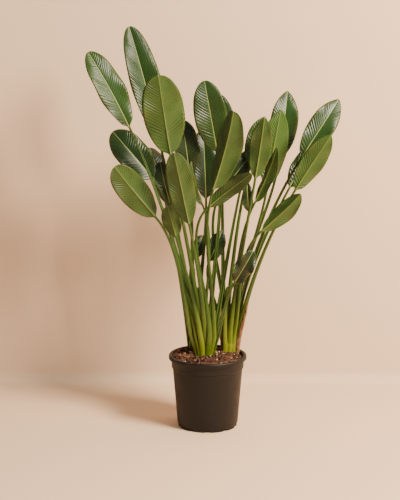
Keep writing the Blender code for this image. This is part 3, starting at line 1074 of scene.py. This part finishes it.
def scatter(count, shape, reach, chance):
    """Adds small angular pieces over the mulch; shape gives a piece's three half sizes."""
    bm = bmesh.new()
    tone = bm.verts.layers.float.new("tone")
    for _ in range(count):
        radius = reach * math.sqrt(chance.random())
        angle = chance.uniform(0, math.tau)
        x, y = radius * math.cos(angle), radius * math.sin(angle)
        sizes = shape(chance)
        tilt = Matrix.Rotation(chance.gauss(0, 0.6), 4, "X") @ Matrix.Rotation(
            chance.gauss(0, 0.5), 4, "Y"
        )
        turn = Matrix.Rotation(chance.uniform(0, math.tau), 4, "Z")
        place = Matrix.Translation((x, y, mulch_height(x, y) + sizes[2] * chance.uniform(0.1, 1.3)))
        verts = bmesh.ops.create_icosphere(bm, subdivisions=1, radius=1)["verts"]
        shade = chance.betavariate(1.1, 2.4)
        for vert in verts:
            jitter = Vector([chance.uniform(0.65, 1.25) for _ in range(3)])
            local = Vector([a * b * c for a, b, c in zip(vert.co, sizes, jitter)])
            vert.co = place @ turn @ tilt @ local
            vert[tone] = shade
    bmesh.ops.recalc_face_normals(bm, faces=bm.faces)
    return bm


def make_chips(settings, bark, white):
    chance = random.Random(settings.seed)

    def chip(chance):
        length = settings.chip_length * chance.uniform(0.35, 1.0) / 2 * 1.3
        return length, length * chance.uniform(0.35, 0.7), chance.uniform(0.0010, 0.0028)

    def grain(chance):
        size = chance.uniform(0.0010, 0.0022)
        return size, size * 0.8, size * 0.8

    reach = MULCH_HIGH.x - 0.004
    chips = add_piece("bark_chips", scatter(settings.chips, chip, reach, chance), [bark], [])
    grains = add_piece(
        "perlite_grains", scatter(settings.perlite, grain, reach, chance), [white], []
    )
    chips.data.shade_flat()
    grains.data.shade_flat()


# ---------------------------------------------------------------- operators


class PLANT_OT_pot(bpy.types.Operator):
    """Models the nursery pot with its lip, band, foot and drainage slots"""

    bl_idname = "plant.nursery_pot"
    bl_label = "Nursery Pot"

    def execute(self, context):
        make_pot(context.scene.plant_pot)
        return {"FINISHED"}


class PLANT_OT_soil(bpy.types.Operator):
    """Finishes the root ball, and lays the mulch bed, bark chips and perlite"""

    bl_idname = "plant.soil"
    bl_label = "Soil and Mulch"

    def execute(self, context):
        soil = potting_soil()
        root_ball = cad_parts["root_ball"]
        root_ball.data.materials.clear()
        root_ball.data.materials.append(soil)
        make_mulch_bed(soil)
        make_chips(context.scene.plant_soil, pine_bark(), expanded_perlite())
        return {"FINISHED"}


class PLANT_OT_crowns(bpy.types.Operator):
    """Models the three crowns, the cut stubs and the dry sheaths"""

    bl_idname = "plant.crowns"
    bl_label = "Crowns, Stubs and Dry Sheaths"

    def execute(self, context):
        sheath = stalk_skin("sheath_tissue", "#3F540E", "#66792A", "#7C7F18")
        pith = cut_face()
        dry = dry_tissue()
        for name, crown in CROWNS.items():
            make_crown(f"crown_{name}", crown, [sheath])
        for number, stub in enumerate(CUT_STUBS, start=1):
            make_cut_stub(number, stub, [sheath, pith])
        for number, strip in enumerate(DRY_SHEATHS, start=1):
            make_dry_sheath(number, strip, dry)
        return {"FINISHED"}


class PLANT_OT_leaves(bpy.types.Operator):
    """Models every leaf, from its sheathing foot to its tip"""

    bl_idname = "plant.leaves"
    bl_label = "Leaves"

    def execute(self, context):
        settings = context.scene.plant_leaf
        upper = leaf_skin(
            "waxy_upper_leaf", settings.upper_dark, settings.upper_pale, settings.rib, 0.33, 0.5, 0.16
        )
        under = leaf_skin(
            "waxy_leaf_underside", settings.under_dark, settings.under_pale, "#7B8A34", 0.42, 0.45, 0.14
        )
        stalk = stalk_skin("fleshy_leaf_stalk", "#2B450A", "#4F6F1E", "#7E8A16")
        for number, leaf in enumerate(LEAVES, start=1):
            make_leaf(number, leaf, settings, [upper, under, stalk])
        return {"FINISHED"}


class PLANT_OT_stage(bpy.types.Operator):
    """Sets the camera, the soft lights and the plain floor"""

    bl_idname = "plant.stage"
    bl_label = "Stage"

    def execute(self, context):
        stage = context.scene.plant_stage
        make_camera(stage)
        make_floor(stage)
        make_lights(stage)
        return {"FINISHED"}


def make_camera(stage):
    data = bpy.data.cameras.new("camera")
    data.lens = stage.lens
    data.clip_end = 50
    camera = bpy.data.objects.new("camera", data)
    camera.location = stage.camera_place
    camera.rotation_euler = (math.pi / 2 - stage.camera_dip, 0, 0)
    bpy.context.scene.collection.objects.link(camera)
    bpy.context.scene.camera = camera


def make_floor(stage):
    """A floor that curves up into a plain backdrop, like a roll of studio paper."""
    bm = bmesh.new()
    bend = 0.04
    back = 0.42
    line = [(-9.0, 0.0), (back, 0.0)]
    for step in range(1, 9):
        angle = math.pi / 16 * step
        line.append((back + bend * math.sin(angle), bend - bend * math.cos(angle)))
    line += [(back + bend, 6.0)]
    verts = [bm.verts.new((-8, y, z)) for y, z in line]
    edges = [bm.edges.new(pair) for pair in zip(verts, verts[1:])]
    grown = bmesh.ops.extrude_edge_only(bm, edges=edges)["geom"]
    moved = [item for item in grown if isinstance(item, bmesh.types.BMVert)]
    bmesh.ops.translate(bm, verts=moved, vec=(16, 0, 0))
    mesh = bpy.data.meshes.new("floor")
    bm.to_mesh(mesh)
    bm.free()
    mesh.materials.append(studio_paper(stage.floor))
    mesh.shade_smooth()
    floor = bpy.data.objects.new("floor", mesh)
    bpy.context.scene.collection.objects.link(floor)


def make_lights(stage):
    world = bpy.data.worlds.new("even_light")
    bpy.context.scene.world = world
    world.use_nodes = True
    backdrop = world.node_tree.nodes["Background"]
    backdrop.inputs["Color"].default_value = linear("#F1F3FF")
    backdrop.inputs["Strength"].default_value = stage.fill
    places = (
        ("key", (2.3, -1.9, 2.8), 1.2, stage.key, "#FFECD6"),
        ("rim", (1.2, 1.2, 2.9), 0.9, stage.key * 0.35, "#FFF1DC"),
    )
    for name, place, size, power, colour in places:
        light = bpy.data.lights.new(name, "AREA")
        light.size = size
        light.energy = power
        light.color = linear(colour)[:3]
        lamp = bpy.data.objects.new(name, light)
        lamp.location = place
        lamp.rotation_euler = (Vector((0, 0, 0.6)) - Vector(place)).to_track_quat("-Z", "Y").to_euler()
        bpy.context.scene.collection.objects.link(lamp)


class PLANT_PT_panel(bpy.types.Panel):
    """Lists the steps that build the plant"""

    bl_label = "Potted Plant"
    bl_idname = "PLANT_PT_panel"
    bl_space_type = "VIEW_3D"
    bl_region_type = "UI"
    bl_category = "Plant"

    def draw(self, context):
        for step in STEPS:
            self.layout.operator(step.bl_idname)


STEPS = (PLANT_OT_pot, PLANT_OT_soil, PLANT_OT_crowns, PLANT_OT_leaves, PLANT_OT_stage)
SETTINGS = {
    "plant_pot": PotSettings,
    "plant_soil": SoilSettings,
    "plant_leaf": LeafSettings,
    "plant_stage": StageSettings,
}


def register():
    for group in SETTINGS.values():
        bpy.utils.register_class(group)
    for name, group in SETTINGS.items():
        setattr(bpy.types.Scene, name, PointerProperty(type=group))
    for step in STEPS:
        bpy.utils.register_class(step)
    bpy.utils.register_class(PLANT_PT_panel)


def unregister():
    bpy.utils.unregister_class(PLANT_PT_panel)
    for step in reversed(STEPS):
        bpy.utils.unregister_class(step)
    for name in SETTINGS:
        delattr(bpy.types.Scene, name)
    for group in reversed(list(SETTINGS.values())):
        bpy.utils.unregister_class(group)


def main():
    register()
    bpy.ops.plant.stage()
    bpy.ops.plant.nursery_pot()
    bpy.ops.plant.soil()
    bpy.ops.plant.crowns()
    bpy.ops.plant.leaves()


if __name__ == "__main__":
    main()
